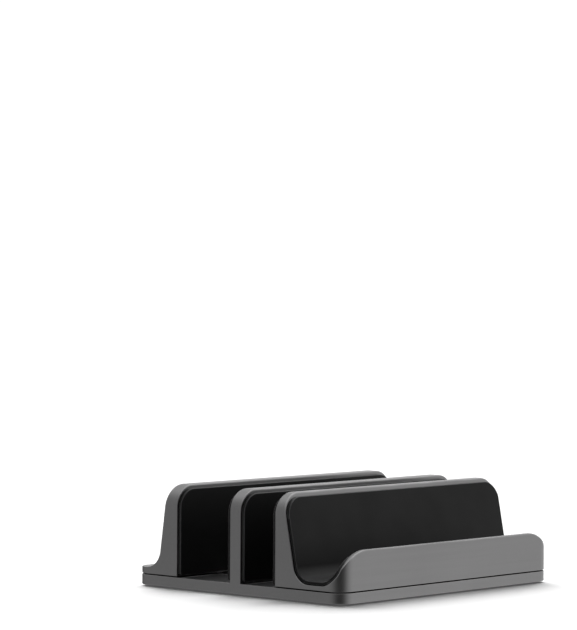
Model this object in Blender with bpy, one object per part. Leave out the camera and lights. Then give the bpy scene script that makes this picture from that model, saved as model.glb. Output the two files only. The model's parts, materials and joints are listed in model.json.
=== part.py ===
"""Vertical desk stand for a laptop, a tablet and a phone, in anodised aluminium with silicone pads.

A base plate carries one fixed divider wall. In front of it a bracket with a phone trough slides on
the plate, and behind it a plain bracket does. Each bracket is clamped by two socket screws that reach
up through slots in the plate. Metres, +Z up, X along the width, -Y to the front. The origin is at the
middle of the footprint, on the desk.
"""

import math

import bmesh
import bpy
from mathutils import Matrix, Vector

MM = 0.001

# Overall size
WIDTH = 151 * MM
DEPTH = 127 * MM
WALL_TOP = 48 * MM
LIP_TOP = 24.1 * MM
FRONT = -DEPTH / 2
HALF = WIDTH / 2

# Base plate and the divider wall that is one piece with it
FOOT_DROP = 0.8 * MM
PLATE_TOP = 5.6 * MM
DIVIDER_FRONT = FRONT + 60.25 * MM
DIVIDER_BACK = FRONT + 66.75 * MM
GAP = 0.3 * MM

# Phone bracket. A seam is left open between each bracket and the plate.
SEAM = 0.5 * MM
BRACKET_BOTTOM = PLATE_TOP + SEAM
LIP_BACK = FRONT + 2.4 * MM
TROUGH_FLOOR = 8.2 * MM
TROUGH_BACK = FRONT + 26.8 * MM
REST_FRONT = FRONT + 34.8 * MM
REST_BACK = FRONT + 39.2 * MM
TROUGH_FRONT_RADIUS = 10 * MM
TROUGH_BACK_RADIUS = 9 * MM

# Rear bracket
REAR_WALL_FRONT = FRONT + 100 * MM
REAR_WALL_BACK = FRONT + 106.5 * MM
REAR_ROOT_BACK = FRONT + 112 * MM
REAR_FOOT_TOP = 9.2 * MM
REAR_ROOT_RADIUS = 9 * MM

# Rounded corners
PLAN_RADIUS = 8 * MM
WALL_RADIUS = 10 * MM
LIP_RADIUS = 17 * MM
EDGE_RADIUS = 1.1 * MM

# How far the lip's corner arcs run past the ends, so that they stop just above the trough's floor
LIP_OVERRUN = 0.04 * MM
LINER_LIP_OVERRUN = 0.25 * MM

# Silicone pads, mats and feet
PAD_THICKNESS = 1.5 * MM
PAD_SIDE_INSET = 0.5 * MM
PAD_TOP_INSET = 1.75 * MM
PAD_RADIUS = 9 * MM
SHEET_CORNER = 1 * MM
LINER_LIP_TOP = LIP_TOP - 1.6 * MM
LINER_LIP_RADIUS = LIP_RADIUS - 1.6 * MM
MAT_RIM = 1.2 * MM
MAT_SEAT = 4.7 * MM
TABLET_MAT_FRONT = FRONT + 42.6 * MM
TABLET_MAT_BACK = DIVIDER_FRONT - PAD_THICKNESS - 2 * GAP
LAPTOP_MAT_FRONT = DIVIDER_BACK + PAD_THICKNESS + 2 * GAP
LAPTOP_MAT_BACK = FRONT + 98 * MM
MAT_NOTCH_HALF = 7 * MM
MAT_NOTCH_FRONT = FRONT + 82.6 * MM
FOOT_RADIUS = 6 * MM
FOOT_INSET = 12 * MM
FOOT_SEAT = 1.8 * MM
FOOT_RIM = 0.4 * MM

# Clamp screws: M4, low head, 2.5 mm socket
SCREW_X = 45 * MM
FRONT_SCREW_Y = FRONT + 30.5 * MM
REAR_SCREW_Y = FRONT + 106 * MM
FRONT_TRAVEL = 7 * MM
REAR_TRAVEL = 18 * MM
SHANK_RADIUS = 2 * MM
HEAD_RADIUS = 3.5 * MM
HEAD_BOTTOM = 1 * MM
HEAD_TOP = 2.6 * MM
SCREW_CHAMFER = 0.3 * MM
SOCKET_WIDTH = 2.5 * MM
SOCKET_RADIUS = SOCKET_WIDTH / math.sqrt(3)
SOCKET_DEPTH = 1.1 * MM
SHANK_TOP = 13 * MM
THREAD_TOP = 14 * MM
WASHER_RADIUS = 4.2 * MM
WASHER_BOTTOM = 2.9 * MM
WASHER_TOP = 3.6 * MM
POCKET_TOP = 3.9 * MM

ROUND_STEPS = 32
ARC_STEPS = 10
SMALL_ARC_STEPS = 4
SHARP_ANGLE = math.radians(30)
OVERCUT = 2 * MM

ALUMINIUM = ((0.20, 0.20, 0.21), 0.42, 1.0)
SILICONE = ((0.012, 0.012, 0.013), 0.75, 0.0)
STEEL = ((0.10, 0.10, 0.105), 0.35, 1.0)


def clear_scene():
    """Removes every object that is in the file."""
    for old in list(bpy.data.objects):
        bpy.data.objects.remove(old, do_unlink=True)


def material(name, look):
    """A Principled material with a base colour, a roughness and a metallic value."""
    colour, roughness, metallic = look
    made = bpy.data.materials.new(name)
    made.use_nodes = True
    shader = made.node_tree.nodes["Principled BSDF"]
    shader.inputs["Base Color"].default_value = (*colour, 1)
    shader.inputs["Roughness"].default_value = roughness
    shader.inputs["Metallic"].default_value = metallic
    made.diffuse_color = (*colour, 1)
    return made


def fillet(before, corner, after, radius, steps):
    """Points of an arc that rounds the corner between two straight runs."""
    corner = Vector(corner)
    to_before = (Vector(before) - corner).normalized()
    to_after = (Vector(after) - corner).normalized()
    half_angle = to_before.angle(to_after) / 2
    bisector = (to_before + to_after).normalized()
    centre = corner + bisector * (radius / math.sin(half_angle))
    start = corner + to_before * (radius / math.tan(half_angle)) - centre
    end = corner + to_after * (radius / math.tan(half_angle)) - centre
    sweep = start.angle_signed(end)
    turned_start = [Matrix.Rotation(-sweep * i / steps, 2) @ start for i in range(steps + 1)]
    return [tuple(centre + spoke) for spoke in turned_start]


def outline(corners, steps=ARC_STEPS):
    """A closed outline from (u, v, radius) corners, each rounded by its own radius."""
    points = []
    for i, (u, v, radius) in enumerate(corners):
        if radius == 0:
            points.append((u, v))
            continue
        before = corners[i - 1][:2]
        after = corners[(i + 1) % len(corners)][:2]
        points += fillet(before, (u, v), after, radius, steps)
    return points


def circle(u, v, radius, steps=ROUND_STEPS):
    """A closed regular outline round a point."""
    angles = [math.tau * i / steps for i in range(steps)]
    return [(u + radius * math.cos(a), v + radius * math.sin(a)) for a in angles]


def slot_outline(x, y_low, y_high, half_width):
    """A slot that runs along Y, with round ends whose centres are y_low and y_high."""
    steps = ROUND_STEPS // 2
    angles = [math.pi * i / steps for i in range(steps + 1)]
    far = [(x + half_width * math.cos(a), y_high + half_width * math.sin(a)) for a in angles]
    near = [(x - half_width * math.cos(a), y_low - half_width * math.sin(a)) for a in angles]
    return far + near


def prism(points, axis, low, high):
    """A closed mesh: the outline, in the two other axes, extruded along axis from low to high."""
    place = {
        "X": lambda u, v, w: (w, u, v),
        "Y": lambda u, v, w: (u, w, v),
        "Z": lambda u, v, w: (u, v, w),
    }[axis]
    made = bmesh.new()
    face = made.faces.new([made.verts.new(place(u, v, low)) for u, v in points])
    grown = bmesh.ops.extrude_face_region(made, geom=[face])
    moved = [item for item in grown["geom"] if isinstance(item, bmesh.types.BMVert)]
    bmesh.ops.translate(made, vec=Vector(place(0, 0, high - low)), verts=moved)
    bmesh.ops.recalc_face_normals(made, faces=made.faces)
    return made


def turned(profile, x, y, steps=ROUND_STEPS, closed=False):
    """A closed mesh: (radius, z) points turned round a vertical axis, where a zero radius lies."""
    made = bmesh.new()
    rings = []
    for radius, z in profile:
        if radius == 0:
            rings.append([made.verts.new((x, y, z))])
        else:
            rings.append([made.verts.new((px, py, z)) for px, py in circle(x, y, radius, steps)])
    pairs = list(zip(rings, rings[1:] + rings[:1])) if closed else list(zip(rings, rings[1:]))
    for lower, upper in pairs:
        for i in range(steps):
            j = (i + 1) % steps
            if len(lower) == 1:
                made.faces.new((lower[0], upper[i], upper[j]))
            elif len(upper) == 1:
                made.faces.new((lower[i], lower[j], upper[0]))
            else:
                made.faces.new((lower[i], lower[j], upper[j], upper[i]))
    bmesh.ops.recalc_face_normals(made, faces=made.faces)
    return made


def corner_cutter(axis, side_u, top_v, inward_u, inward_v, radius, low, high):
    """What to take off a square corner at (side_u, top_v) so that an arc of this radius is left."""
    centre_u = side_u + inward_u * radius
    centre_v = top_v + inward_v * radius
    angles = [math.pi / 2 * i / ARC_STEPS for i in range(ARC_STEPS + 1)]
    arc = [
        (centre_u - inward_u * radius * math.cos(a), centre_v - inward_v * radius * math.sin(a))
        for a in angles
    ]
    out_u = side_u - inward_u * OVERCUT
    out_v = top_v - inward_v * OVERCUT
    return prism([*arc, (centre_u, out_v), (out_u, out_v), (out_u, centre_v)], axis, low, high)


def top_corners(half_width, top, radius, y_low, y_high):
    """Cutters that round both top corners of a wall that runs along X."""
    return [
        corner_cutter("Y", side * half_width, top, -side, -1, radius, y_low, y_high) for side in (-1, 1)
    ]


def plan_corners(half_width, edge, inward, radius):
    """Cutters that round both vertical corners at the front or back edge."""
    return [
        corner_cutter("Z", side * half_width, edge, -side, inward, radius, -OVERCUT, WALL_TOP + OVERCUT)
        for side in (-1, 1)
    ]


def add_object(name, shape, finish):
    """An object in the scene from a bmesh, with its material."""
    mesh = bpy.data.meshes.new(name)
    shape.to_mesh(mesh)
    shape.free()
    mesh.materials.append(finish)
    made = bpy.data.objects.new(name, mesh)
    bpy.context.scene.collection.objects.link(made)
    return made


def cut(target, shapes):
    """Takes each shape away from the target and keeps the result as its mesh."""
    cutters = [add_object(f"{target.name}_cutter", shape, target.data.materials[0]) for shape in shapes]
    for cutter in cutters:
        modifier = target.modifiers.new("cut", "BOOLEAN")
        modifier.operation = "DIFFERENCE"
        modifier.solver = "EXACT"
        modifier.object = cutter
    bpy.context.view_layer.update()
    result = bpy.data.meshes.new_from_object(target.evaluated_get(bpy.context.evaluated_depsgraph_get()))
    target.modifiers.clear()
    target.data = result
    for cutter in cutters:
        bpy.data.objects.remove(cutter, do_unlink=True)
    return target


def finish_part(part, origin=(0, 0, 0), parent=None):
    """Shades a part and puts its origin where it belongs, under its parent."""
    part.data.shade_smooth()
    part.data.set_sharp_from_angle(angle=SHARP_ANGLE)
    part.data.transform(Matrix.Translation(-Vector(origin)))
    part.location = Vector(origin)
    if parent is not None:
        part.parent = parent
        part.location = Vector(origin) - parent.location
    return part


def slide_empty(name, y):
    """An empty on a bracket's line of travel, which carries all that slides with the bracket."""
    made = bpy.data.objects.new(name, None)
    made.location = (0, y, BRACKET_BOTTOM)
    bpy.context.scene.collection.objects.link(made)
    return made


def mat_outline(front, back, notch_front, grow):
    """Plan of a floor mat. A mat with notches leaves the plate bare where the clamp slots run."""
    half = HALF - MAT_RIM - GAP + grow
    front -= grow
    back += grow
    if notch_front is None:
        square = [(-half, front), (half, front), (half, back), (-half, back)]
        return outline([(x, y, SHEET_CORNER) for x, y in square], SMALL_ARC_STEPS)
    notch = notch_front + grow
    inner = MAT_NOTCH_HALF - grow
    corners = [(-half, front), (half, front), (half, back)]
    for centre in (SCREW_X, -SCREW_X):
        corners += [(centre + inner, back), (centre + inner, notch)]
        corners += [(centre - inner, notch), (centre - inner, back)]
    corners.append((-half, back))
    return outline([(x, y, SHEET_CORNER) for x, y in corners], SMALL_ARC_STEPS)


def make_base_plate(finish):
    """Plate and divider wall as one extrusion, then rounded, slotted and pocketed."""
    profile = outline([
        (FRONT, FOOT_DROP, 0),
        (-FRONT, FOOT_DROP, 0),
        (-FRONT, PLATE_TOP, 0),
        (DIVIDER_BACK, PLATE_TOP, 0),
        (DIVIDER_BACK, WALL_TOP, EDGE_RADIUS),
        (DIVIDER_FRONT, WALL_TOP, EDGE_RADIUS),
        (DIVIDER_FRONT, PLATE_TOP, 0),
        (FRONT, PLATE_TOP, 0),
    ], SMALL_ARC_STEPS)
    plate = add_object("base_plate", prism(profile, "X", -HALF, HALF), finish)
    shapes = top_corners(HALF, WALL_TOP, WALL_RADIUS, DIVIDER_FRONT - OVERCUT, DIVIDER_BACK + OVERCUT)
    shapes += plan_corners(HALF, FRONT, 1, PLAN_RADIUS)
    shapes += plan_corners(HALF, -FRONT, -1, PLAN_RADIUS)
    tablet = mat_outline(TABLET_MAT_FRONT, TABLET_MAT_BACK, None, GAP)
    laptop = mat_outline(LAPTOP_MAT_FRONT, LAPTOP_MAT_BACK, MAT_NOTCH_FRONT, GAP)
    shapes += [prism(recess, "Z", MAT_SEAT - GAP, PLATE_TOP + OVERCUT) for recess in (tablet, laptop)]
    travels = [(FRONT_SCREW_Y, FRONT_SCREW_Y + FRONT_TRAVEL), (REAR_SCREW_Y - REAR_TRAVEL, REAR_SCREW_Y)]
    for x in (-SCREW_X, SCREW_X):
        for low, high in travels:
            pocket = slot_outline(x, low, high, WASHER_RADIUS + GAP)
            slot = slot_outline(x, low, high, SHANK_RADIUS + GAP)
            shapes.append(prism(pocket, "Z", -OVERCUT, POCKET_TOP))
            shapes.append(prism(slot, "Z", -OVERCUT, PLATE_TOP + OVERCUT))
    for x, y in foot_places().values():
        shapes.append(prism(circle(x, y, FOOT_RADIUS + GAP), "Z", -OVERCUT, FOOT_SEAT))
    return finish_part(cut(plate, shapes))


def thread_hole(x, y):
    """The blind hole in a bracket that a clamp screw's shank stands in."""
    return prism(circle(x, y, SHANK_RADIUS + GAP), "Z", BRACKET_BOTTOM - OVERCUT, THREAD_TOP)


def make_phone_bracket(finish, carrier):
    """Front lip, trough floor and leaning backrest in one extrusion."""
    profile = outline([
        (FRONT, BRACKET_BOTTOM, 0),
        (FRONT, LIP_TOP, EDGE_RADIUS),
        (LIP_BACK, LIP_TOP, EDGE_RADIUS),
        (LIP_BACK, TROUGH_FLOOR, TROUGH_FRONT_RADIUS),
        (TROUGH_BACK, TROUGH_FLOOR, TROUGH_BACK_RADIUS),
        (REST_FRONT, WALL_TOP, EDGE_RADIUS),
        (REST_BACK, WALL_TOP, EDGE_RADIUS),
        (REST_BACK, BRACKET_BOTTOM, 0),
    ])
    bracket = add_object("phone_bracket", prism(profile, "X", -HALF, HALF), finish)
    middle = (LIP_BACK + TROUGH_BACK) / 2
    shapes = top_corners(HALF + LIP_OVERRUN, LIP_TOP, LIP_RADIUS, FRONT - OVERCUT, middle)
    shapes += top_corners(HALF, WALL_TOP, WALL_RADIUS, middle, REST_BACK + OVERCUT)
    shapes += plan_corners(HALF, FRONT, 1, PLAN_RADIUS)
    shapes += [thread_hole(x, FRONT_SCREW_Y) for x in (-SCREW_X, SCREW_X)]
    return finish_part(cut(bracket, shapes), carrier.location, carrier)


def make_rear_bracket(finish, carrier):
    """Upright wall with a thick root and a foot that runs to the back edge."""
    profile = outline([
        (REAR_WALL_FRONT, BRACKET_BOTTOM, 0),
        (REAR_WALL_FRONT, WALL_TOP, EDGE_RADIUS),
        (REAR_WALL_BACK, WALL_TOP, EDGE_RADIUS),
        (REAR_ROOT_BACK, REAR_FOOT_TOP, REAR_ROOT_RADIUS),
        (-FRONT, REAR_FOOT_TOP, EDGE_RADIUS),
        (-FRONT, BRACKET_BOTTOM, 0),
    ])
    bracket = add_object("rear_bracket", prism(profile, "X", -HALF, HALF), finish)
    shapes = top_corners(HALF, WALL_TOP, WALL_RADIUS, REAR_WALL_FRONT - OVERCUT, -FRONT + OVERCUT)
    shapes += plan_corners(HALF, -FRONT, -1, PLAN_RADIUS)
    shapes += [thread_hole(x, REAR_SCREW_Y) for x in (-SCREW_X, SCREW_X)]
    return finish_part(cut(bracket, shapes), carrier.location, carrier)


def make_wall_pad(name, face, outward, finish, carrier=None):
    """A silicone sheet on an upright wall. outward is the side of the face that it lies on."""
    half = HALF - PAD_SIDE_INSET
    top = WALL_TOP - PAD_TOP_INSET
    bottom = BRACKET_BOTTOM + 2 * GAP
    sheet = outline([
        (-half, bottom, SHEET_CORNER),
        (half, bottom, SHEET_CORNER),
        (half, top, PAD_RADIUS),
        (-half, top, PAD_RADIUS),
    ])
    near = face + outward * GAP
    far = near + outward * PAD_THICKNESS
    pad = add_object(name, prism(sheet, "Y", min(near, far), max(near, far)), finish)
    return finish_part(pad, carrier.location if carrier else (0, 0, 0), carrier)


def trough_line(offset, lip_top, rest_top):
    """The trough's inner line, offset into the trough, from the lip's top down and up the backrest."""
    lean = Vector((REST_FRONT - TROUGH_BACK, WALL_TOP - TROUGH_FLOOR)).normalized()
    inward = Vector((-lean.y, lean.x))
    floor = TROUGH_FLOOR + offset
    foot = Vector((TROUGH_BACK, TROUGH_FLOOR)) + inward * offset
    foot += lean * ((floor - foot.y) / lean.y)
    head = foot + lean * ((rest_top - foot.y) / lean.y)
    front = (LIP_BACK + offset, floor)
    line = [(LIP_BACK + offset, lip_top)]
    line += fillet(line[0], front, foot, TROUGH_FRONT_RADIUS - offset, ARC_STEPS)
    line += fillet(front, foot, head, TROUGH_BACK_RADIUS - offset, ARC_STEPS)
    return [*line, tuple(head)]


def make_liner(finish, carrier):
    """The silicone lining of the trough: lip, floor and backrest in one bent sheet."""
    rest_top = WALL_TOP - PAD_TOP_INSET
    outer = trough_line(GAP, LINER_LIP_TOP, rest_top)
    inner = trough_line(GAP + PAD_THICKNESS, LINER_LIP_TOP, rest_top)
    half = HALF - PAD_SIDE_INSET
    liner = add_object("phone_cradle_liner", prism(outer + inner[::-1], "X", -half, half), finish)
    middle = (LIP_BACK + TROUGH_BACK) / 2
    shapes = top_corners(half + LINER_LIP_OVERRUN, LINER_LIP_TOP, LINER_LIP_RADIUS, FRONT, middle)
    shapes += top_corners(half, rest_top, PAD_RADIUS, middle, REST_BACK)
    shapes += plan_corners(half, FRONT + PAD_SIDE_INSET, 1, PLAN_RADIUS - PAD_SIDE_INSET)
    return finish_part(cut(liner, shapes), carrier.location, carrier)


def make_mat(name, plan, finish):
    """A silicone floor mat that lies in its recess, level with the plate."""
    return finish_part(add_object(name, prism(plan, "Z", MAT_SEAT, PLATE_TOP), finish))


def foot_places():
    """Centre of each foot by its place on the plate."""
    x = HALF - FOOT_INSET
    y = DEPTH / 2 - FOOT_INSET
    return {"front_left": (-x, -y), "front_right": (x, -y), "rear_left": (-x, y), "rear_right": (x, y)}


def make_foot(place, x, y, finish):
    """A round silicone foot with a softened rim, seated in the plate's underside."""
    top = FOOT_SEAT - GAP
    profile = [
        (0, 0),
        (FOOT_RADIUS - FOOT_RIM, 0),
        (FOOT_RADIUS, FOOT_RIM),
        (FOOT_RADIUS, top),
        (0, top),
    ]
    return finish_part(add_object(f"foot_{place}", turned(profile, x, y), finish), (x, y, 0))


def make_screw(place, x, y, finish, carrier):
    """Low-head socket screw, head down, with a hexagon socket in its head."""
    profile = [
        (0, HEAD_BOTTOM),
        (HEAD_RADIUS - SCREW_CHAMFER, HEAD_BOTTOM),
        (HEAD_RADIUS, HEAD_BOTTOM + SCREW_CHAMFER),
        (HEAD_RADIUS, HEAD_TOP),
        (SHANK_RADIUS, HEAD_TOP),
        (SHANK_RADIUS, SHANK_TOP - SCREW_CHAMFER),
        (SHANK_RADIUS - SCREW_CHAMFER, SHANK_TOP),
        (0, SHANK_TOP),
    ]
    screw = add_object(f"clamp_screw_{place}", turned(profile, x, y), finish)
    socket = prism(circle(x, y, SOCKET_RADIUS, 6), "Z", HEAD_BOTTOM - OVERCUT, HEAD_BOTTOM + SOCKET_DEPTH)
    return finish_part(cut(screw, [socket]), (x, y, HEAD_TOP), carrier)


def make_washer(place, x, y, finish, carrier):
    """Flat washer between a screw's head and the roof of its pocket."""
    bore = SHANK_RADIUS + GAP
    profile = [
        (bore, WASHER_BOTTOM),
        (WASHER_RADIUS, WASHER_BOTTOM),
        (WASHER_RADIUS, WASHER_TOP),
        (bore, WASHER_TOP),
    ]
    washer = add_object(f"clamp_washer_{place}", turned(profile, x, y, closed=True), finish)
    return finish_part(washer, (x, y, WASHER_TOP), carrier)


def main():
    clear_scene()
    plate_metal = material("base_plate", ALUMINIUM)
    phone_metal = material("phone_bracket", ALUMINIUM)
    rear_metal = material("rear_bracket", ALUMINIUM)
    pad_rubber = material("pads", SILICONE)
    foot_rubber = material("feet", SILICONE)
    steel = material("clamp_screws", STEEL)
    washer_steel = material("clamp_washers", STEEL)

    phone_slide = slide_empty("phone_bracket_slide", FRONT_SCREW_Y)
    rear_slide = slide_empty("rear_bracket_slide", REAR_SCREW_Y)

    make_base_plate(plate_metal)
    make_wall_pad("divider_pad_front", DIVIDER_FRONT, -1, pad_rubber)
    make_wall_pad("divider_pad_rear", DIVIDER_BACK, 1, pad_rubber)
    tablet_plan = mat_outline(TABLET_MAT_FRONT, TABLET_MAT_BACK, None, 0)
    laptop_plan = mat_outline(LAPTOP_MAT_FRONT, LAPTOP_MAT_BACK, MAT_NOTCH_FRONT, 0)
    make_mat("tablet_slot_mat", tablet_plan, pad_rubber)
    make_mat("laptop_slot_mat", laptop_plan, pad_rubber)
    for place, (x, y) in foot_places().items():
        make_foot(place, x, y, foot_rubber)

    make_phone_bracket(phone_metal, phone_slide)
    make_wall_pad("phone_bracket_rear_pad", REST_BACK, 1, pad_rubber, phone_slide)
    make_liner(pad_rubber, phone_slide)

    make_rear_bracket(rear_metal, rear_slide)
    make_wall_pad("rear_bracket_pad", REAR_WALL_FRONT, -1, pad_rubber, rear_slide)

    for side, x in (("left", -SCREW_X), ("right", SCREW_X)):
        for row, y, carrier in (("front", FRONT_SCREW_Y, phone_slide), ("rear", REAR_SCREW_Y, rear_slide)):
            make_screw(f"{row}_{side}", x, y, steel, carrier)
            make_washer(f"{row}_{side}", x, y, washer_steel, carrier)


main()
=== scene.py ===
"""Looks of the vertical laptop stand: fine metal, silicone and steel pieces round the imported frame."""

import json
import math

import bmesh
import bpy
from mathutils import Matrix, Vector

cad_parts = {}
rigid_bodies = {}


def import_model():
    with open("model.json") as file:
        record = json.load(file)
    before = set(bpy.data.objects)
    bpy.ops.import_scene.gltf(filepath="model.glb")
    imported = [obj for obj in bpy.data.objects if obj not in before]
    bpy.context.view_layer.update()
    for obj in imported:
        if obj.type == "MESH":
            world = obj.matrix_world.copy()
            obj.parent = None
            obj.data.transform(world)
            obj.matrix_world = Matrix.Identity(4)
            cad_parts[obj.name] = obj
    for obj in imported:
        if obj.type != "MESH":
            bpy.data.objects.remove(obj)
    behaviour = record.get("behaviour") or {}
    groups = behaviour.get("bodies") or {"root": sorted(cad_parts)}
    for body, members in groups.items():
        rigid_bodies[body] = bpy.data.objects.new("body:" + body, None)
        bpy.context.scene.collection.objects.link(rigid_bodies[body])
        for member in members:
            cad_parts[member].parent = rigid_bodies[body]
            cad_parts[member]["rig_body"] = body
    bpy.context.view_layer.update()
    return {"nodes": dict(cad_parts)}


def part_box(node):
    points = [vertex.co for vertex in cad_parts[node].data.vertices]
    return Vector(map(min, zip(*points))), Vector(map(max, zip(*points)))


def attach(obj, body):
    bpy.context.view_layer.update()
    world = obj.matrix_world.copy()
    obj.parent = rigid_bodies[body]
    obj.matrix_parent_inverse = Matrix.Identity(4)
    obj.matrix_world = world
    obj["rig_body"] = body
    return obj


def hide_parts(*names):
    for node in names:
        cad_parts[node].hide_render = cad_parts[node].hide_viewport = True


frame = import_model()

MM = 0.001

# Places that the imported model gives
PLATE_LOW, PLATE_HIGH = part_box("base_plate")
PHONE_LOW, PHONE_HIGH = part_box("phone_bracket")
REAR_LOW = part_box("rear_bracket")[0]
LINER_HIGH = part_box("phone_cradle_liner")[1]
PAD_LOW, PAD_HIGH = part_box("divider_pad_front")
TABLET_MAT_LOW, TABLET_MAT_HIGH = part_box("tablet_slot_mat")
LAPTOP_MAT_LOW, LAPTOP_MAT_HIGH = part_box("laptop_slot_mat")
FOOT_LOW, FOOT_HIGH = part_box("foot_front_left")
SCREW_LOW, SCREW_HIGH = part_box("clamp_screw_front_left")
WASHER_LOW, WASHER_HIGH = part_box("clamp_washer_front_left")

HALF = PLATE_HIGH.x
FRONT = PLATE_LOW.y
BACK = PLATE_HIGH.y
PLATE_BOTTOM = PLATE_LOW.z
PLATE_TOP = TABLET_MAT_HIGH.z
WALL_TOP = PLATE_HIGH.z
BRACKET_BOTTOM = PHONE_LOW.z
GAP = 0.3 * MM
DIVIDER_FRONT = PAD_HIGH.y + GAP
DIVIDER_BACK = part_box("divider_pad_rear")[0].y - GAP
PLACES = ("front_left", "front_right", "rear_left", "rear_right")
SCREW_CENTRES = {place: sum(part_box(f"clamp_washer_{place}"), Vector()) / 2 for place in PLACES}

# Section of the phone bracket
LIP_TOP = 24.1 * MM
LIP_BACK = FRONT + 2.4 * MM
TROUGH_FLOOR = 8.2 * MM
TROUGH_BACK = FRONT + 26.8 * MM
REST_FRONT = FRONT + 34.8 * MM
REST_BACK = PHONE_HIGH.y
TROUGH_FRONT_RADIUS = 10 * MM
TROUGH_BACK_RADIUS = 9 * MM

# Section of the rear bracket
REAR_WALL_FRONT = REAR_LOW.y
REAR_WALL_BACK = REAR_WALL_FRONT + 6.5 * MM
REAR_ROOT_BACK = REAR_WALL_FRONT + 12 * MM
REAR_FOOT_TOP = 9.2 * MM
REAR_ROOT_RADIUS = 9 * MM

# Corners
PLAN_RADIUS = 8 * MM
WALL_RADIUS = 10 * MM
LIP_RADIUS = 17 * MM

# How far the lip's corner arcs run past the ends, so that they stop just above the trough's floor
LIP_OVERRUN = 0.04 * MM
LINER_LIP_OVERRUN = 0.6 * MM

# Narrowest top that the lip keeps where the plan corner cuts into it
WEDGE_WIDTH = 0.45 * MM

# Edges: the walls' are soft, those along the seam and in the pockets are crisp
WALL_EDGE = 0.7 * MM
BASE_EDGE = 0.4 * MM
SEAM_EDGE = 0.3 * MM
POCKET_EDGE = 0.15 * MM
END_EDGE = 0.3 * MM
PAD_EDGE = 0.4 * MM
MAT_EDGE = 0.2 * MM
EDGE_SEGMENTS = 4
SHARP_ANGLE = math.radians(28)

# The most of a narrow face that one rounded edge may take
EDGE_SHARE = 0.45

# At an end, a face whose normal has this much of X in it belongs to a corner arc, not a rounded edge
END_SLOPE = 0.96

# Pads, liner and mats
PAD_THICKNESS = PAD_HIGH.y - PAD_LOW.y
PAD_SIDE_INSET = HALF - PAD_HIGH.x
PAD_RADIUS = 9 * MM
SHEET_CORNER = 1 * MM
LINER_LIP_TOP = LIP_TOP - 1.6 * MM
LINER_LIP_RADIUS = LIP_RADIUS - 1.6 * MM
MAT_SEAT = TABLET_MAT_LOW.z
MAT_NOTCH_HALF = 7 * MM
MAT_NOTCH_FRONT = FRONT + 82.6 * MM

# Feet: two grip rings round a dished middle, given as (radius, height) in mm from the middle out
FOOT_RADIUS = (FOOT_HIGH.x - FOOT_LOW.x) / 2
FOOT_RIM = 0.5 * MM
FOOT_RINGS = (
    (0, 0.25), (1.4, 0.25), (1.8, 0.05), (2.0, 0), (2.9, 0),
    (3.1, 0.05), (3.4, 0.25), (4.0, 0.25), (4.3, 0.05), (4.5, 0),
)

# Screws and washers
HEAD_RADIUS = (SCREW_HIGH.x - SCREW_LOW.x) / 2
HEAD_TOP = SCREW_LOW.z + 1.6 * MM
SCREW_CHAMFER = 0.2 * MM
KNURL_DEPTH = 0.1 * MM
KNURL_RIDGES = 36
SOCKET_WIDTH = 2.5 * MM
SOCKET_DEPTH = 1.1 * MM
SOCKET_RIM = 0.35 * MM
SHANK_RADIUS = 2 * MM
THREAD_PITCH = 0.7 * MM
THREAD_DEPTH = 0.28 * MM
THREAD_TOP = 14 * MM
TIP_LENGTH = 0.5 * MM
TIP_CHAMFER = 0.3 * MM
WASHER_RADIUS = (WASHER_HIGH.x - WASHER_LOW.x) / 2
WASHER_CHAMFER = 0.12 * MM
POCKET_TOP = WASHER_HIGH.z + GAP
FRONT_TRAVEL = 7 * MM
REAR_TRAVEL = 18 * MM

# Camera: turned right from +Y by the yaw, in degrees
EYE = (-1.1118, -0.9657, 0.1551)
YAW, PITCH, ROLL = 47.965, -1.135, 0.379
LENS = 179.6
SENSOR_WIDTH = 36

# Light: the even level, then soft boxes as (azimuth, elevation, inner angle, outer angle, level)
LIT_EVENLY = 0.165
LIT_BOXES = ((45, 35, 2, 55, 5.6),)
MIRRORED_EVENLY = 0.06
MIRRORED_BOXES = ((-30, 8, 25, 88, 1.04), (140, 8, 15, 75, 0.5), (0, 90, 25, 60, 1.0), (0, -90, 25, 70, 0.5))
BACKDROP_LEVEL = 1.05
FLOOR_RADIUS = 12
FLOOR_GREY = 0.9

# Fineness of the meshes
ARC_STEPS = 24
PLAN_STEPS = 28
STATION_GAP = 0.7 * MM
SMALL_ARC_STEPS = 8
HOLE_STEPS = 48
ROUND_STEPS = 96
SCREW_STEPS = 144
FLOOR_STEPS = 64
THREAD_ROWS = 8
OVERCUT = 2 * MM
CLOSE = 0.05 * MM


# ---------------------------------------------------------------- outlines and closed meshes


def fillet(before, corner, after, radius, steps):
    """Points of an arc that rounds the corner between two straight runs."""
    corner = Vector(corner)
    to_before = (Vector(before) - corner).normalized()
    to_after = (Vector(after) - corner).normalized()
    half_angle = to_before.angle(to_after) / 2
    bisector = (to_before + to_after).normalized()
    centre = corner + bisector * (radius / math.sin(half_angle))
    start = corner + to_before * (radius / math.tan(half_angle)) - centre
    end = corner + to_after * (radius / math.tan(half_angle)) - centre
    sweep = start.angle_signed(end)
    spokes = [Matrix.Rotation(-sweep * i / steps, 2) @ start for i in range(steps + 1)]
    return [tuple(centre + spoke) for spoke in spokes]


def outline(corners, steps=ARC_STEPS):
    """A closed outline from (u, v, radius) corners, each rounded by its own radius."""
    points = []
    for i, (u, v, radius) in enumerate(corners):
        if radius == 0:
            points.append((u, v))
            continue
        before = corners[i - 1][:2]
        after = corners[(i + 1) % len(corners)][:2]
        points += fillet(before, (u, v), after, radius, steps)
    return points


def circle(u, v, radius, steps=ROUND_STEPS):
    """A closed round outline."""
    angles = [math.tau * i / steps for i in range(steps)]
    return [(u + radius * math.cos(a), v + radius * math.sin(a)) for a in angles]


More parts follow.
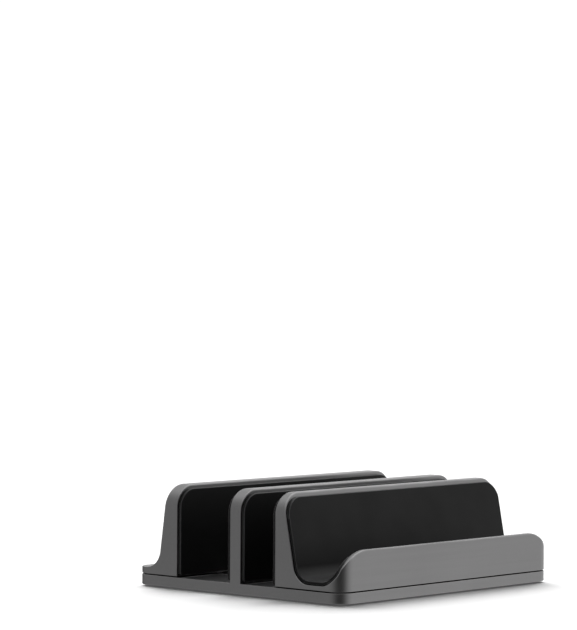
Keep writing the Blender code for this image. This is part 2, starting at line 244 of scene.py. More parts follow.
def slot_outline(x, y_low, y_high, half_width, steps=32):
    """A slot that runs along Y, with round ends whose centres are y_low and y_high."""
    angles = [math.pi * i / steps for i in range(steps + 1)]
    far = [(x + half_width * math.cos(a), y_high + half_width * math.sin(a)) for a in angles]
    near = [(x - half_width * math.cos(a), y_low - half_width * math.sin(a)) for a in angles]
    return far + near


def prism(points, axis, low, high):
    """A closed mesh: the outline, in the two other axes, extruded along axis from low to high."""
    place = {
        "X": lambda u, v, w: (w, u, v),
        "Y": lambda u, v, w: (u, w, v),
        "Z": lambda u, v, w: (u, v, w),
    }[axis]
    made = bmesh.new()
    face = made.faces.new([made.verts.new(place(u, v, low)) for u, v in points])
    grown = bmesh.ops.extrude_face_region(made, geom=[face])
    moved = [item for item in grown["geom"] if isinstance(item, bmesh.types.BMVert)]
    bmesh.ops.translate(made, vec=Vector(place(0, 0, high - low)), verts=moved)
    bmesh.ops.recalc_face_normals(made, faces=made.faces)
    return made


def lathe(rows, centre, steps=ROUND_STEPS, closed=False):
    """Rows of (radius, z) turned round a vertical axis. A radius may be a function of the angle, and a
    zero radius is a point on the axis."""
    made = bmesh.new()
    angles = [math.tau * i / steps for i in range(steps)]
    rings = []
    for radius, z in rows:
        if radius == 0:
            rings.append([made.verts.new((centre.x, centre.y, z))])
            continue
        radii = [radius(a) if callable(radius) else radius for a in angles]
        ring = [(centre.x + r * math.cos(a), centre.y + r * math.sin(a), z) for r, a in zip(radii, angles)]
        rings.append([made.verts.new(point) for point in ring])
    pairs = list(zip(rings, rings[1:] + rings[:1])) if closed else list(zip(rings, rings[1:]))
    for lower, upper in pairs:
        for i in range(steps):
            j = (i + 1) % steps
            if len(lower) == 1:
                made.faces.new((lower[0], upper[i], upper[j]))
            elif len(upper) == 1:
                made.faces.new((lower[i], lower[j], upper[0]))
            else:
                made.faces.new((lower[i], lower[j], upper[j], upper[i]))
    bmesh.ops.recalc_face_normals(made, faces=made.faces)
    return made


def corner_cutter(axis, side_u, top_v, inward_u, inward_v, radius, low, high):
    """What to take off a square corner at (side_u, top_v) so that an arc of this radius is left."""
    centre_u = side_u + inward_u * radius
    centre_v = top_v + inward_v * radius
    angles = [math.pi / 2 * i / ARC_STEPS for i in range(ARC_STEPS + 1)]
    arc = [
        (centre_u - inward_u * radius * math.cos(a), centre_v - inward_v * radius * math.sin(a))
        for a in angles
    ]
    out_u = side_u - inward_u * OVERCUT
    out_v = top_v - inward_v * OVERCUT
    return prism([*arc, (centre_u, out_v), (out_u, out_v), (out_u, centre_v)], axis, low, high)


def top_corners(half_width, top, radius, y_low, y_high):
    """Cutters that round both top corners of a wall that runs along X."""
    return [
        corner_cutter("Y", side * half_width, top, -side, -1, radius, y_low, y_high) for side in (-1, 1)
    ]


def plan_corners(half_width, edge, inward, radius):
    """Cutters that round both vertical corners at the front or back edge."""
    return [
        corner_cutter("Z", side * half_width, edge, -side, inward, radius, -OVERCUT, WALL_TOP + OVERCUT)
        for side in (-1, 1)
    ]


def drop(radius, distance):
    """How far a quarter circle has fallen back from its full reach, this far in from its far side."""
    if distance >= radius:
        return 0.0
    return radius - math.sqrt(radius ** 2 - (radius - distance) ** 2)


def end_stations(plan_radius, reach):
    """Distances from an end at which a section is taken: even steps round the plan corner, then on."""
    around = [plan_radius * (1 - math.cos(math.pi / 2 * i / PLAN_STEPS)) for i in range(PLAN_STEPS + 1)]
    count = math.ceil((reach - plan_radius) / STATION_GAP)
    return around + [plan_radius + (reach - plan_radius) * (i + 1) / count for i in range(count)]


def loft(half, distances, section):
    """A closed mesh along X from -half to half. section gives the outline, as (y, z, mark) points of one
    count, at each distance from an end. A mark says that the face from there on rounds an edge."""
    made = bmesh.new()
    marks = made.faces.layers.float.new("rounded_edge")
    outlines = [section(distance) for distance in distances]
    ends = [(-half + distance, outline_here) for distance, outline_here in zip(distances, outlines)]
    ends += [(-x, outline_here) for x, outline_here in reversed(ends)]
    rings = [[made.verts.new((x, y, z)) for y, z, mark in outline_here] for x, outline_here in ends]
    for (x, outline_here), (next_x, _), ring, other in zip(ends, ends[1:], rings, rings[1:]):
        at_end = half - abs(x + next_x) / 2 < END_EDGE
        for j, (y, z, mark) in enumerate(outline_here):
            k = (j + 1) % len(ring)
            face = made.faces.new((ring[j], ring[k], other[k], other[j]))
            face.normal_update()
            face[marks] = max(mark, float(at_end and abs(face.normal.x) < END_SLOPE))
    made.faces.new(rings[0])
    made.faces.new(rings[-1])
    bmesh.ops.remove_doubles(made, verts=made.verts, dist=0.0005 * MM)
    bmesh.ops.recalc_face_normals(made, faces=made.faces)
    return made


def bend(before, corner, after, steps=4):
    """Points of a soft corner between two lines that it leaves at before and meets at after."""
    points = []
    for i in range(steps + 1):
        t = i / steps
        weights = ((1 - t) ** 2, 2 * t * (1 - t), t ** 2)
        y, z = (sum(w * p[axis] for w, p in zip(weights, (before, corner, after))) for axis in (0, 1))
        points.append((y, z, float(i < steps)))
    return points


# ---------------------------------------------------------------- objects


def new_object(name, shape, finish):
    """An object in the scene from a bmesh, with its material."""
    mesh = bpy.data.meshes.new(name)
    shape.to_mesh(mesh)
    shape.free()
    mesh.materials.append(finish)
    made = bpy.data.objects.new(name, mesh)
    bpy.context.scene.collection.objects.link(made)
    return made


def apply_modifiers(target):
    """Makes what the modifiers show the object's own mesh."""
    bpy.context.view_layer.update()
    result = bpy.data.meshes.new_from_object(target.evaluated_get(bpy.context.evaluated_depsgraph_get()))
    target.modifiers.clear()
    target.data = result


def carve(target, shapes):
    """Takes each shape away from the target."""
    cutters = [new_object("cutter", shape, target.data.materials[0]) for shape in shapes]
    for cutter in cutters:
        modifier = target.modifiers.new("cut", "BOOLEAN")
        modifier.operation = "DIFFERENCE"
        modifier.solver = "EXACT"
        modifier.object = cutter
    apply_modifiers(target)
    for cutter in cutters:
        bpy.data.objects.remove(cutter, do_unlink=True)


def round_edges(target, radius_at, segments=EDGE_SEGMENTS):
    """Rounds every sharp edge. radius_at gives the radius from an edge's middle point. The new faces are
    marked in a face attribute, rounded_edge, for the edge tone that the materials draw there: wear on the
    metal, a painted highlight on the silicone."""
    shape = bmesh.new()
    shape.from_mesh(target.data)
    bmesh.ops.remove_doubles(shape, verts=shape.verts, dist=0.002 * MM)
    bmesh.ops.dissolve_limit(
        shape, angle_limit=math.radians(0.3), verts=shape.verts, edges=shape.edges, delimit={"NORMAL"}
    )
    weights = shape.edges.layers.float.new("bevel_weight_edge")
    sharp = [e for e in shape.edges if len(e.link_faces) == 2 and e.calc_face_angle() > SHARP_ANGLE]
    radii = {edge: radius_at((edge.verts[0].co + edge.verts[1].co) / 2) for edge in sharp}
    widest = max(radii.values())
    for edge, radius in radii.items():
        edge[weights] = radius / widest
    shape.to_mesh(target.data)
    shape.free()
    target.data.materials.append(target.data.materials[0])
    bevel = target.modifiers.new("round", "BEVEL")
    bevel.limit_method = "WEIGHT"
    bevel.width = widest
    bevel.segments = segments
    bevel.use_clamp_overlap = False
    bevel.miter_outer = "MITER_ARC"
    bevel.material = 1
    apply_modifiers(target)
    mesh = target.data
    marks = [float(face.material_index) for face in mesh.polygons]
    mesh.attributes.new("rounded_edge", "FLOAT", "FACE").data.foreach_set("value", marks)
    mesh.polygons.foreach_set("material_index", [0] * len(marks))
    mesh.materials.pop(index=1)


def install(piece, node, crease=30):
    """Shades a finished piece and puts it in a CAD node's place, on that node's body."""
    piece.data.shade_smooth()
    piece.data.set_sharp_from_angle(angle=math.radians(crease))
    weighted = piece.modifiers.new("flat_faces", "WEIGHTED_NORMAL")
    weighted.keep_sharp = True
    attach(piece, frame["nodes"][node]["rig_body"])
    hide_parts(node)


# ---------------------------------------------------------------- materials


def start_material(name):
    """A material, its node tree, its Principled shader and its object coordinates."""
    made = bpy.data.materials.new(name)
    made.use_nodes = True
    tree = made.node_tree
    where = tree.nodes.new("ShaderNodeTexCoord").outputs["Object"]
    return made, tree, tree.nodes["Principled BSDF"], where


def noise(tree, where, scale, detail, stretch=None):
    """A noise texture of so many cells a metre, fewer along an axis that stretch makes less than 1."""
    if stretch:
        mapping = tree.nodes.new("ShaderNodeMapping")
        mapping.inputs["Scale"].default_value = stretch
        tree.links.new(where, mapping.inputs["Vector"])
        where = mapping.outputs["Vector"]
    node = tree.nodes.new("ShaderNodeTexNoise")
    node.inputs["Scale"].default_value = scale
    node.inputs["Detail"].default_value = detail
    tree.links.new(where, node.inputs["Vector"])
    return node.outputs["Fac"]


def spread(tree, value, low, high, from_low=0.3, from_high=0.7):
    """Maps a noise's usual range to low..high."""
    node = tree.nodes.new("ShaderNodeMapRange")
    for key, number in (("From Min", from_low), ("From Max", from_high), ("To Min", low), ("To Max", high)):
        node.inputs[key].default_value = number
    tree.links.new(value, node.inputs["Value"])
    return node.outputs["Result"]


def combine(tree, first, second, operation="ADD"):
    """Two values added, or combined by another operation."""
    node = tree.nodes.new("ShaderNodeMath")
    node.operation = operation
    tree.links.new(first, node.inputs[0])
    tree.links.new(second, node.inputs[1])
    return node.outputs["Value"]


def tinted(tree, value, tint):
    """A colour of one tint whose brightness is value."""
    node = tree.nodes.new("ShaderNodeVectorMath")
    node.operation = "SCALE"
    node.inputs[0].default_value = tint
    tree.links.new(value, node.inputs["Scale"])
    return node.outputs["Vector"]


def edge_wear_and_highlight(tree, patches, low, high):
    """A lighter tone on the rounded edges only, stronger and weaker by patches: wear on the metal, a painted
    highlight on the silicone.
    """
    mark = tree.nodes.new("ShaderNodeAttribute")
    mark.attribute_name = "rounded_edge"
    return combine(tree, mark.outputs["Fac"], spread(tree, patches, low, high), "MULTIPLY")


def dust_and_sheen(tree, where, patches, low, high):
    """Lightening where a surface faces up, thicker and thinner by patches: fine dust together with a painted
    sheen.
    """
    parts = tree.nodes.new("ShaderNodeSeparateXYZ")
    tree.links.new(where.node.outputs["Normal"], parts.inputs["Vector"])
    facing = spread(tree, parts.outputs["Z"], low=0, high=1, from_low=0.7, from_high=0.98)
    return combine(tree, facing, spread(tree, patches, low, high), "MULTIPLY")


def bump(tree, shader, height, distance, strength):
    """Fine relief on a shader's normal."""
    node = tree.nodes.new("ShaderNodeBump")
    node.inputs["Distance"].default_value = distance
    node.inputs["Strength"].default_value = strength
    tree.links.new(height, node.inputs["Height"])
    tree.links.new(node.outputs["Normal"], shader.inputs["Normal"])


def anodised_aluminium():
    """Bead-blasted, grey-anodised aluminium: fine grain, faint draw lines along X and slightly polished
    edges."""
    made, tree, shader, where = start_material("anodised_aluminium")
    grain = noise(tree, where, scale=3600, detail=3)
    cloud = noise(tree, where, scale=30, detail=3)
    draw = noise(tree, where, scale=700, detail=2, stretch=(0.02, 1, 1))
    worn = edge_wear_and_highlight(tree, noise(tree, where, scale=90, detail=3), low=0.0, high=0.05)
    tone = spread(tree, cloud, low=0.192, high=0.208)
    tone = combine(tree, tone, spread(tree, draw, low=-0.004, high=0.004))
    tone = combine(tree, tone, spread(tree, grain, low=-0.008, high=0.008))
    tone = combine(tree, tone, worn)
    tree.links.new(tinted(tree, tone, (1.0, 0.995, 1.0)), shader.inputs["Base Color"])
    rough = combine(tree, spread(tree, cloud, low=0.37, high=0.42), spread(tree, grain, low=-0.03, high=0.03))
    tree.links.new(rough, shader.inputs["Roughness"])
    shader.inputs["Metallic"].default_value = 1.0
    bump(tree, shader, grain, distance=0.012 * MM, strength=0.35)
    return made


def silicone(name, level):
    """Matte black moulded silicone: a fine sanded grain, edges lightened as a painted highlight, and dust
    with a painted sheen where it faces up.
    """
    made, tree, shader, where = start_material(name)
    grain = noise(tree, where, scale=2600, detail=4)
    cloud = noise(tree, where, scale=60, detail=2)
    tone = spread(tree, cloud, low=level * 0.85, high=level * 1.15)
    tone = combine(tree, tone, spread(tree, grain, low=-0.0005, high=0.0005))
    # painted highlight: the rounded edges are lightened as if they caught the light
    tone = combine(tree, tone, edge_wear_and_highlight(tree, cloud, low=0.03, high=0.048))
    # dust and painted sheen: faces that look up are lightened, partly as dust, partly for the light they
    # mirror at a low angle
    dust_and_sheen_patches = noise(tree, where, scale=140, detail=4)
    tone = combine(tree, tone, dust_and_sheen(tree, where, dust_and_sheen_patches, low=0.02, high=0.034))
    tree.links.new(tinted(tree, tone, (1.0, 1.0, 1.03)), shader.inputs["Base Color"])
    tree.links.new(spread(tree, cloud, low=0.48, high=0.56), shader.inputs["Roughness"])
    shader.inputs["Specular IOR Level"].default_value = 0.15
    bump(tree, shader, grain, distance=0.03 * MM, strength=0.4)
    return made


def turned_steel(name, level, roughness):
    """Turned steel with fine rings and uneven plating."""
    made, tree, shader, where = start_material(name)
    stain = noise(tree, where, scale=900, detail=3)
    rings = noise(tree, where, scale=9000, detail=1, stretch=(0.15, 0.15, 1))
    tone = spread(tree, stain, low=level * 0.8, high=level * 1.2)
    rough = spread(tree, stain, low=roughness - 0.05, high=roughness + 0.08)
    tree.links.new(tinted(tree, tone, (1.0, 1.0, 0.99)), shader.inputs["Base Color"])
    tree.links.new(rough, shader.inputs["Roughness"])
    shader.inputs["Metallic"].default_value = 1.0
    bump(tree, shader, rings, distance=0.01 * MM, strength=0.3)
    return made


# ---------------------------------------------------------------- metal parts


def on_rim(point):
    """Whether a point lies on the upright side of the plate's outline."""
    across = abs(point.x) - (HALF - PLAN_RADIUS)
    along = abs(point.y) - (BACK - PLAN_RADIUS)
    beyond = math.hypot(max(across, 0), max(along, 0)) + min(max(across, along), 0)
    return beyond > PLAN_RADIUS - CLOSE


def metal_edge(point):
    """Radius of a metal edge by where it is."""
    in_hole = any((point - centre).xy.length < WASHER_RADIUS for centre in SCREW_CENTRES.values())
    if in_hole and point.z < THREAD_TOP + CLOSE:
        return POCKET_EDGE
    if point.z > BRACKET_BOTTOM + CLOSE:
        return END_EDGE + (WALL_EDGE - END_EDGE) * min((HALF - abs(point.x)) / WALL_RADIUS, 1)
    if not on_rim(point):
        return POCKET_EDGE
    return BASE_EDGE if point.z < PLATE_BOTTOM + CLOSE else SEAM_EDGE


def thread_holes(row):
    """The blind holes in a bracket that its two clamp screws stand in."""
    centres = [SCREW_CENTRES[f"{row}_{side}"] for side in ("left", "right")]
    holes = [circle(centre.x, centre.y, SHANK_RADIUS + GAP, HOLE_STEPS) for centre in centres]
    return [prism(hole, "Z", BRACKET_BOTTOM - OVERCUT, THREAD_TOP) for hole in holes]


def mat_plan(low, high, notch_front, grow):
    """Plan of a floor mat, or of its recess when grown. Notches leave the clamp slots clear."""
    half = high.x + grow
    front = low.y - grow
    back = high.y + grow
    corners = [(-half, front), (half, front), (half, back)]
    if notch_front is not None:
        notch = notch_front + grow
        inner = MAT_NOTCH_HALF - grow
        for x in (SCREW_CENTRES["rear_right"].x, SCREW_CENTRES["rear_left"].x):
            corners += [(x + inner, back), (x + inner, notch)]
            corners += [(x - inner, notch), (x - inner, back)]
    corners.append((-half, back))
    return outline([(x, y, SHEET_CORNER) for x, y in corners], SMALL_ARC_STEPS)


def fine_base_plate(metal):
    """Plate and divider wall, with the mats' recesses above and the feet's and screws' below."""
    profile = [
        (FRONT, PLATE_BOTTOM),
        (BACK, PLATE_BOTTOM),
        (BACK, PLATE_TOP),
        (DIVIDER_BACK, PLATE_TOP),
        (DIVIDER_BACK, WALL_TOP),
        (DIVIDER_FRONT, WALL_TOP),
        (DIVIDER_FRONT, PLATE_TOP),
        (FRONT, PLATE_TOP),
    ]
    plate = new_object("base_plate_fine", prism(profile, "X", -HALF, HALF), metal)
    shapes = top_corners(HALF, WALL_TOP, WALL_RADIUS, DIVIDER_FRONT - OVERCUT, DIVIDER_BACK + OVERCUT)
    shapes += plan_corners(HALF, FRONT, 1, PLAN_RADIUS)
    shapes += plan_corners(HALF, BACK, -1, PLAN_RADIUS)
    recesses = (
        mat_plan(TABLET_MAT_LOW, TABLET_MAT_HIGH, None, GAP),
        mat_plan(LAPTOP_MAT_LOW, LAPTOP_MAT_HIGH, MAT_NOTCH_FRONT, GAP),
    )
    shapes += [prism(recess, "Z", MAT_SEAT - GAP, PLATE_TOP + OVERCUT) for recess in recesses]
    for place, centre in SCREW_CENTRES.items():
        travel = FRONT_TRAVEL if place.startswith("front") else -REAR_TRAVEL
        low, high = sorted((centre.y, centre.y + travel))
        pocket = slot_outline(centre.x, low, high, WASHER_RADIUS + GAP)
        slot = slot_outline(centre.x, low, high, SHANK_RADIUS + GAP)
        shapes.append(prism(pocket, "Z", -OVERCUT, POCKET_TOP))
        shapes.append(prism(slot, "Z", -OVERCUT, PLATE_TOP + OVERCUT))
    for place in PLACES:
        low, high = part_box(f"foot_{place}")
        centre = (low + high) / 2
        shapes.append(prism(circle(centre.x, centre.y, FOOT_RADIUS + GAP), "Z", -OVERCUT, high.z + GAP))
    carve(plate, shapes)
    round_edges(plate, metal_edge)
    install(plate, "base_plate")


def trough_curve(offset):
    """The trough's inner line, offset into the trough: points from the lip down and up the backrest."""
    lean = Vector((REST_FRONT - TROUGH_BACK, WALL_TOP - TROUGH_FLOOR)).normalized()
    floor = TROUGH_FLOOR + offset
    foot = Vector((TROUGH_BACK, TROUGH_FLOOR)) + Vector((-lean.y, lean.x)) * offset
    foot += lean * ((floor - foot.y) / lean.y)
    front = (LIP_BACK + offset, floor)
    line = [(LIP_BACK + offset, WALL_TOP)]
    line += fillet(line[0], front, foot, TROUGH_FRONT_RADIUS - offset, ARC_STEPS)
    line += fillet(front, foot, foot + lean * WALL_TOP, TROUGH_BACK_RADIUS - offset, ARC_STEPS)
    return [*line, tuple(foot + lean * WALL_TOP)]


def cut_at(curve, level, falling):
    """Where a curve crosses a height on its way down, or up: the index before it and the point."""
    pairs = list(enumerate(zip(curve, curve[1:])))
    for i, (here, there) in (pairs if falling else reversed(pairs)):
        if min(here[1], there[1]) <= level <= max(here[1], there[1]) and here[1] != there[1]:
            t = (level - here[1]) / (there[1] - here[1])
            return i, (here[0] + (there[0] - here[0]) * t, level)
    raise ValueError("the curve doesn't reach that height")


def height_at(curve, y):
    """The height at which the lip's side of a curve has come in as far as y."""
    for here, there in zip(curve, curve[1:]):
        if here[0] <= y <= there[0] and there[0] > here[0]:
            return here[1] + (there[1] - here[1]) * (y - here[0]) / (there[0] - here[0])
    return WALL_TOP


def between(curve, low_cut, high_cut):
    """The curve's own points, with those before the first cut and beyond the second moved to it."""
    kept = []
    for i, (y, z) in enumerate(curve):
        point = low_cut[1] if i <= low_cut[0] else high_cut[1] if i > high_cut[0] else (y, z)
        kept.append((*point, 0.0))
    return kept


def bracket_section(distance):
    """The phone bracket's outline at this distance from its end."""
    inset = drop(END_EDGE, distance)
    front = FRONT + drop(PLAN_RADIUS, distance) + inset
    back = REST_BACK - inset
    bottom = BRACKET_BOTTOM + inset
    curve = trough_curve(-inset)
    lip_fall = drop(LIP_RADIUS, distance + LIP_OVERRUN)
    lip_top = min(LIP_TOP - lip_fall - inset, height_at(curve, front + WEDGE_WIDTH))
    wall_top = WALL_TOP - drop(WALL_RADIUS, distance) - inset
    lip_inner = cut_at(curve, lip_top, True)[1]
    rest_inner = cut_at(curve, wall_top, False)[1]
    above_floor = lip_top - TROUGH_FLOOR + inset
    lip_edge = min(WALL_EDGE, (lip_inner[0] - front) * EDGE_SHARE, above_floor * EDGE_SHARE)
    rest_edge = min(WALL_EDGE, (back - rest_inner[0]) * EDGE_SHARE)
    lip_cut = cut_at(curve, lip_top - lip_edge, True)
    rest_cut = cut_at(curve, wall_top - rest_edge, False)
    return [
        *bend((front + SEAM_EDGE, bottom), (front, bottom), (front, bottom + SEAM_EDGE)),
        *bend((front, lip_top - lip_edge), (front, lip_top), (front + lip_edge, lip_top)),
        *bend((lip_inner[0] - lip_edge, lip_top), lip_inner, lip_cut[1]),
        *between(curve, lip_cut, rest_cut),
        *bend(rest_cut[1], rest_inner, (rest_inner[0] + rest_edge, wall_top)),
        *bend((back - rest_edge, wall_top), (back, wall_top), (back, wall_top - rest_edge)),
        *bend((back, bottom + SEAM_EDGE), (back, bottom), (back - SEAM_EDGE, bottom)),
    ]


def fine_phone_bracket(metal):
    """Front lip, trough floor and leaning backrest."""
    shape = loft(HALF, end_stations(PLAN_RADIUS, LIP_RADIUS), bracket_section)
    bracket = new_object("phone_bracket_fine", shape, metal)
    carve(bracket, thread_holes("front"))
    install(bracket, "phone_bracket")


def fine_rear_bracket(metal):
    """Upright wall whose thick root runs out in a foot."""
    profile = outline([
        (REAR_WALL_FRONT, BRACKET_BOTTOM, 0),
        (REAR_WALL_FRONT, WALL_TOP, 0),
        (REAR_WALL_BACK, WALL_TOP, 0),
        (REAR_ROOT_BACK, REAR_FOOT_TOP, REAR_ROOT_RADIUS),
        (BACK, REAR_FOOT_TOP, 0),
        (BACK, BRACKET_BOTTOM, 0),
    ])
    bracket = new_object("rear_bracket_fine", prism(profile, "X", -HALF, HALF), metal)
    shapes = top_corners(HALF, WALL_TOP, WALL_RADIUS, REAR_WALL_FRONT - OVERCUT, BACK + OVERCUT)
    shapes += plan_corners(HALF, BACK, -1, PLAN_RADIUS)
    carve(bracket, shapes + thread_holes("rear"))
    round_edges(bracket, metal_edge)
    install(bracket, "rear_bracket")


# ---------------------------------------------------------------- silicone parts


def fine_wall_pad(node, rubber):
    """A sheet on an upright wall, with large top corners and rounded edges."""
    low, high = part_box(node)
    sheet = outline([
        (low.x, low.z, SHEET_CORNER),
        (high.x, low.z, SHEET_CORNER),
        (high.x, high.z, PAD_RADIUS),
        (low.x, high.z, PAD_RADIUS),
    ])
    pad = new_object(f"{node}_fine", prism(sheet, "Y", low.y, high.y), rubber)
    round_edges(pad, lambda point: PAD_EDGE)
    install(pad, node)


def liner_section(distance):
    """The trough lining's outline at this distance from its end."""
    inset = drop(PAD_EDGE, distance)
    front = FRONT + PAD_SIDE_INSET + drop(PLAN_RADIUS - PAD_SIDE_INSET, distance) + inset
    outer = trough_curve(GAP + inset)
    inner = trough_curve(GAP + PAD_THICKNESS - inset)
    lowest = TROUGH_FLOOR + GAP + PAD_THICKNESS + 2 * PAD_EDGE
    lip_fall = drop(LINER_LIP_RADIUS, distance + LINER_LIP_OVERRUN)
    lip_top = max(LINER_LIP_TOP - lip_fall - inset, lowest)
    rest_top = LINER_HIGH.z - drop(PAD_RADIUS, distance) - inset
    edge = PAD_EDGE - inset / 2
    cuts = []
    for side in (outer, inner):
        lip_level = min(lip_top, height_at(side, front))
        lip, rest = cut_at(side, lip_level, True)[1], cut_at(side, rest_top, False)[1]
        cuts.append((lip, cut_at(side, lip_level - edge, True), rest, cut_at(side, rest_top - edge, False)))
    (lip_outer, outer_low, rest_outer, outer_high), (lip_inner, inner_low, rest_inner, inner_high) = cuts
    across = Vector(lip_inner) - Vector(lip_outer)
    over = Vector(rest_inner) - Vector(rest_outer)
    across *= min(edge / across.length, EDGE_SHARE)
    over *= min(edge / over.length, EDGE_SHARE)
    return [
        *bend(outer_low[1], lip_outer, Vector(lip_outer) + across),
        *bend(Vector(lip_inner) - across, lip_inner, inner_low[1]),
        *between(inner, inner_low, inner_high),
        *bend(inner_high[1], rest_inner, Vector(rest_inner) - over),
        *bend(Vector(rest_outer) + over, rest_outer, outer_high[1]),
        *reversed(between(outer, outer_low, outer_high)),
    ]


def fine_liner(rubber):
    """The trough's lining: lip, floor and backrest in one bent sheet."""
    stations = end_stations(PLAN_RADIUS - PAD_SIDE_INSET, LINER_LIP_RADIUS)
    shape = loft(LINER_HIGH.x, stations, liner_section)
    install(new_object("phone_cradle_liner_fine", shape, rubber), "phone_cradle_liner")


def fine_mat(node, low, high, notch_front, rubber):
    """A floor mat, level with the plate."""
    mat = new_object(f"{node}_fine", prism(mat_plan(low, high, notch_front, 0), "Z", low.z, high.z), rubber)
    round_edges(mat, lambda point: MAT_EDGE)
    install(mat, node)


def fine_foot(place, rubber):
    """A round foot with two raised grip rings and a dished middle."""
    low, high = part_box(f"foot_{place}")
    rows = [(radius * MM, low.z + height * MM) for radius, height in FOOT_RINGS]
    angles = [math.pi / 2 * i / SMALL_ARC_STEPS for i in range(SMALL_ARC_STEPS + 1)]
    rows += [
        (FOOT_RADIUS - FOOT_RIM + FOOT_RIM * math.sin(a), low.z + FOOT_RIM - FOOT_RIM * math.cos(a))
        for a in angles
    ]
    rows += [(FOOT_RADIUS, high.z), (0, high.z)]
    foot = new_object(f"foot_{place}_fine", lathe(rows, (low + high) / 2), rubber)
    install(foot, f"foot_{place}", crease=50)


# ---------------------------------------------------------------- fasteners


def hexagon(width):
    """Radius of a hexagon of this width across its flats, by angle."""
    sector = math.pi / 3
    return lambda a: width / 2 / math.cos((a + sector / 2) % sector - sector / 2)


def knurled(radius):
    """Radius of a knurled rim, by angle."""
    return lambda a: radius - KNURL_DEPTH * (0.5 - 0.5 * math.cos(KNURL_RIDGES * a))


def threaded(z, fade):
    """Radius of a right-hand thread at height z, by angle. fade runs it out to its root."""
    def radius(a):
        phase = (z / THREAD_PITCH - a / math.tau) % 1
        height = min(max(1.5 - abs(phase - 0.5) * 4, 0), 1)
        return SHANK_RADIUS - THREAD_DEPTH * (1 - height * fade)
    return radius


def screw_rows(low, high):
    """Profile of a low-head socket screw that stands on its head, from the socket's floor to the tip."""
    chamfer = SCREW_CHAMFER
    floor = low.z + SOCKET_DEPTH
    socket = hexagon(SOCKET_WIDTH)
    rows = [
        (0, floor + chamfer),
        (socket, floor),
        (socket, low.z + chamfer),
        (SOCKET_WIDTH / 2 + SOCKET_RIM, low.z),
        (HEAD_RADIUS - 2 * chamfer, low.z),
        (HEAD_RADIUS - chamfer, low.z + 0.3 * chamfer),
        (HEAD_RADIUS - 0.4 * chamfer, low.z + chamfer),
        (knurled(HEAD_RADIUS), low.z + 1.6 * chamfer),
        (knurled(HEAD_RADIUS), HEAD_TOP - chamfer),
        (HEAD_RADIUS - chamfer, HEAD_TOP),
        (SHANK_RADIUS, HEAD_TOP),
    ]
    length = high.z - TIP_LENGTH - HEAD_TOP
    count = round(length / THREAD_PITCH * THREAD_ROWS)
    for i in range(1, count + 1):
        z = HEAD_TOP + length * i / count
        fade = min(1, i / THREAD_ROWS, (count - i) / THREAD_ROWS)
        rows.append((threaded(z, fade), z))
    rows += [(SHANK_RADIUS - THREAD_DEPTH - TIP_CHAMFER, high.z), (0, high.z)]
    return rows


def fine_screw(place, steel):
    """A clamp screw with its socket, knurled head and thread."""
    node = f"clamp_screw_{place}"
    low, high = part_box(node)
    screw = new_object(f"{node}_fine", lathe(screw_rows(low, high), (low + high) / 2, SCREW_STEPS), steel)
    install(screw, node, crease=40)


def fine_washer(place, steel):
    """A flat washer with broken edges."""
    node = f"clamp_washer_{place}"
    low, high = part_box(node)
    bore = SHANK_RADIUS + GAP
    chamfer = WASHER_CHAMFER
    rows = [
        (bore + chamfer, low.z),
        (WASHER_RADIUS - chamfer, low.z),
        (WASHER_RADIUS, low.z + chamfer),
        (WASHER_RADIUS, high.z - chamfer),
        (WASHER_RADIUS - chamfer, high.z),
        (bore + chamfer, high.z),
        (bore, high.z - chamfer),
        (bore, low.z + chamfer),
    ]
    washer = new_object(f"{node}_fine", lathe(rows, (low + high) / 2, closed=True), steel)
    install(washer, node)


# ---------------------------------------------------------------- stage, light and camera


def studio_floor():
    """A large pale floor that the metal doesn't mirror. From below it is clear, so the feet are seen."""
    disc = bmesh.new()
    bmesh.ops.create_circle(disc, cap_ends=True, segments=FLOOR_STEPS, radius=FLOOR_RADIUS)
    finish = bpy.data.materials.new("studio_floor")
    finish.use_nodes = True
    tree = finish.node_tree
    shader = tree.nodes["Principled BSDF"]
    shader.inputs["Base Color"].default_value = (FLOOR_GREY, FLOOR_GREY, FLOOR_GREY, 1)
    shader.inputs["Roughness"].default_value = 0.9
    shader.inputs["Specular IOR Level"].default_value = 0.0
    mix = tree.nodes.new("ShaderNodeMixShader")
    tree.links.new(tree.nodes.new("ShaderNodeNewGeometry").outputs["Backfacing"], mix.inputs["Fac"])
    tree.links.new(shader.outputs["BSDF"], mix.inputs[1])
    tree.links.new(tree.nodes.new("ShaderNodeBsdfTransparent").outputs["BSDF"], mix.inputs[2])
    tree.links.new(mix.outputs["Shader"], tree.nodes["Material Output"].inputs["Surface"])
    floor = new_object("studio_floor", disc, finish)
    floor.visible_glossy = False


def direction(azimuth, elevation):
    """Unit vector at an azimuth, counted from +X towards +Y, and an elevation, both in degrees."""
    a = math.radians(azimuth)
    e = math.radians(elevation)
    return (math.cos(a) * math.cos(e), math.sin(a) * math.cos(e), math.sin(e))


def soft_box(tree, ray, azimuth, elevation, inner, outer, level):
    """Light from one side: full within the inner angle, in degrees, and none beyond the outer one."""
    facing = tree.nodes.new("ShaderNodeVectorMath")
    facing.operation = "DOT_PRODUCT"
    facing.inputs[1].default_value = direction(azimuth, elevation)
    tree.links.new(ray, facing.inputs[0])
    ramp = tree.nodes.new("ShaderNodeMapRange")
    ramp.interpolation_type = "SMOOTHSTEP"
    ramp.inputs["From Min"].default_value = math.cos(math.radians(outer))
    ramp.inputs["From Max"].default_value = math.cos(math.radians(inner))
    ramp.inputs["To Min"].default_value = 0
    ramp.inputs["To Max"].default_value = level
    tree.links.new(facing.outputs["Value"], ramp.inputs["Value"])
    return ramp.outputs["Result"]


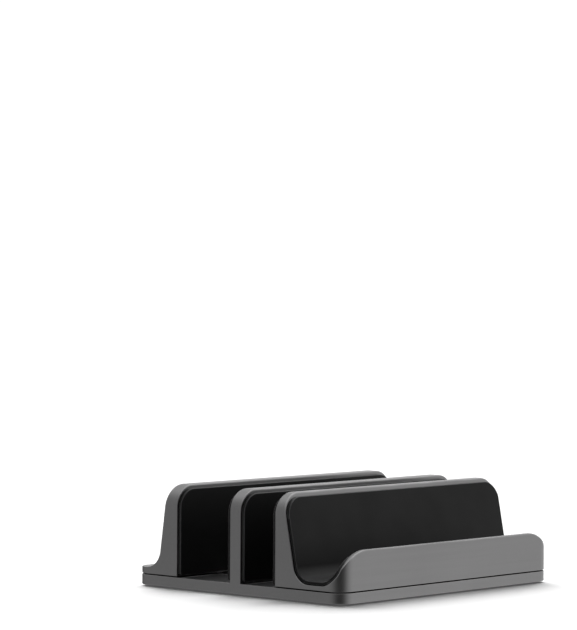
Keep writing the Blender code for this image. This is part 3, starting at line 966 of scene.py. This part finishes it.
def surround(tree, ray, ambient, boxes):
    """A background that shines evenly at the ambient level, with soft boxes on top of that."""
    even = tree.nodes.new("ShaderNodeValue")
    even.outputs["Value"].default_value = ambient
    level = even.outputs["Value"]
    for box in boxes:
        level = combine(tree, level, soft_box(tree, ray, *box))
    node = tree.nodes.new("ShaderNodeBackground")
    node.inputs["Color"].default_value = (1, 1, 1, 1)
    tree.links.new(level, node.inputs["Strength"])
    return node.outputs["Background"]


def studio_light():
    """A soft studio. The floor is lit from above and behind, so that its shadows fall to the front. The
    metal mirrors a wide light at the right front, weaker ones at the left back and below, and one above.
    The camera sees plain white."""
    world = bpy.data.worlds.new("studio")
    world.use_nodes = True
    bpy.context.scene.world = world
    tree = world.node_tree
    ray = tree.nodes.new("ShaderNodeTexCoord").outputs["Generated"]
    path = tree.nodes.new("ShaderNodeLightPath").outputs
    lighting = surround(tree, ray, LIT_EVENLY, LIT_BOXES)
    mirrored = surround(tree, ray, MIRRORED_EVENLY, MIRRORED_BOXES)
    backdrop = surround(tree, ray, BACKDROP_LEVEL, ())
    for fac, seen in ((path["Is Glossy Ray"], mirrored), (path["Is Camera Ray"], backdrop)):
        mix = tree.nodes.new("ShaderNodeMixShader")
        tree.links.new(fac, mix.inputs["Fac"])
        tree.links.new(lighting, mix.inputs[1])
        tree.links.new(seen, mix.inputs[2])
        lighting = mix.outputs["Shader"]
    tree.links.new(lighting, tree.nodes["World Output"].inputs["Surface"])
    bpy.context.scene.view_settings.view_transform = "Standard"


def camera():
    """A long lens at the left front, a little above the stand, aimed almost level."""
    yaw, pitch, roll = (math.radians(angle) for angle in (YAW, PITCH, ROLL))
    forward = Vector((math.sin(yaw) * math.cos(pitch), math.cos(yaw) * math.cos(pitch), math.sin(pitch)))
    level = Vector((math.cos(yaw), -math.sin(yaw), 0))
    upright = level.cross(forward)
    right = level * math.cos(roll) + upright * math.sin(roll)
    up = upright * math.cos(roll) - level * math.sin(roll)
    data = bpy.data.cameras.new("camera")
    data.lens = LENS
    data.sensor_width = SENSOR_WIDTH
    eye = bpy.data.objects.new("camera", data)
    turn = Matrix((right, up, -forward)).transposed().to_4x4()
    eye.matrix_world = Matrix.Translation(EYE) @ turn
    bpy.context.scene.collection.objects.link(eye)
    bpy.context.scene.camera = eye


def main():
    """Builds every piece, then the stage, the light and the camera."""
    metal = anodised_aluminium()
    pads = silicone("silicone_pads", 0.0025)
    feet = silicone("silicone_feet", 0.010)
    screw_steel = turned_steel("black_oxide_steel", 0.07, 0.38)
    washer_steel = turned_steel("zinc_plated_steel", 0.5, 0.3)

    fine_base_plate(metal)
    fine_phone_bracket(metal)
    fine_rear_bracket(metal)
    for node in ("divider_pad_front", "divider_pad_rear", "phone_bracket_rear_pad", "rear_bracket_pad"):
        fine_wall_pad(node, pads)
    fine_liner(pads)
    fine_mat("tablet_slot_mat", TABLET_MAT_LOW, TABLET_MAT_HIGH, None, pads)
    fine_mat("laptop_slot_mat", LAPTOP_MAT_LOW, LAPTOP_MAT_HIGH, MAT_NOTCH_FRONT, pads)
    for place in PLACES:
        fine_foot(place, feet)
        fine_screw(place, screw_steel)
        fine_washer(place, washer_steel)

    studio_floor()
    studio_light()
    camera()


main()
